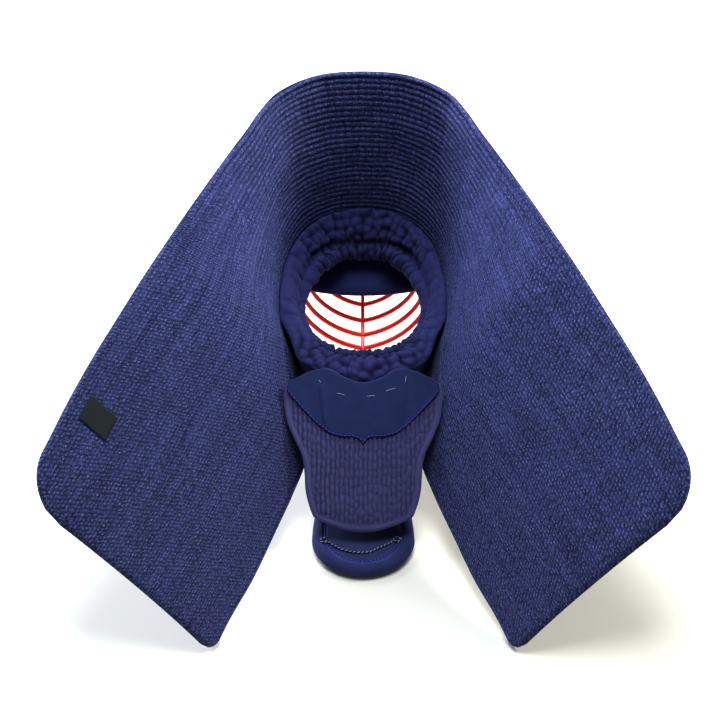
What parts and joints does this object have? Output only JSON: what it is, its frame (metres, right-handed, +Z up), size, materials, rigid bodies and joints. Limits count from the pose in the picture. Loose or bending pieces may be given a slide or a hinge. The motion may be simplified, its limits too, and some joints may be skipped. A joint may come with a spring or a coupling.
{
  "type": "kendo helmet",
  "caption": "Kendo helmet of quilted indigo cotton with a metal face grille, padded face ring and two throat flaps, lying face down.",
  "frame": {"origin": "on the surface it lies on, below the middle of its bounding box", "axes": "+Z up from the surface, +Y towards the crown of the head, +X to the right of someone who looks along +Y into the open side; the face points down"},
  "size_m": [0.5862, 0.5514, 0.3339],
  "materials": {
    "quilted_cotton": "indigo cotton, quilted in close rows, matt",
    "grille_lacquer": "red lacquer inside, plain metal outside",
    "binding_leather": "smooth dark leather",
    "ring_cotton": "gathered indigo cotton",
    "pad_cotton": "plain dark cotton",
    "flap_cotton": "purple-navy cotton, sewn in channels",
    "flap_suede": "navy brushed cloth with stitched edges",
    "label_weave": "plain woven patch"
  },
  "bodies": {
    "root": {"quilted_cloth": "quilted_cotton", "face_grille": "grille_lacquer", "rim_binding": "binding_leather", "face_ring": "ring_cotton", "forehead_pad": "pad_cotton", "inner_throat_flap": "flap_cotton", "inner_flap_yoke": "flap_suede", "outer_throat_flap": "flap_suede", "wing_label": "label_weave"}
  },
  "joints": []
}
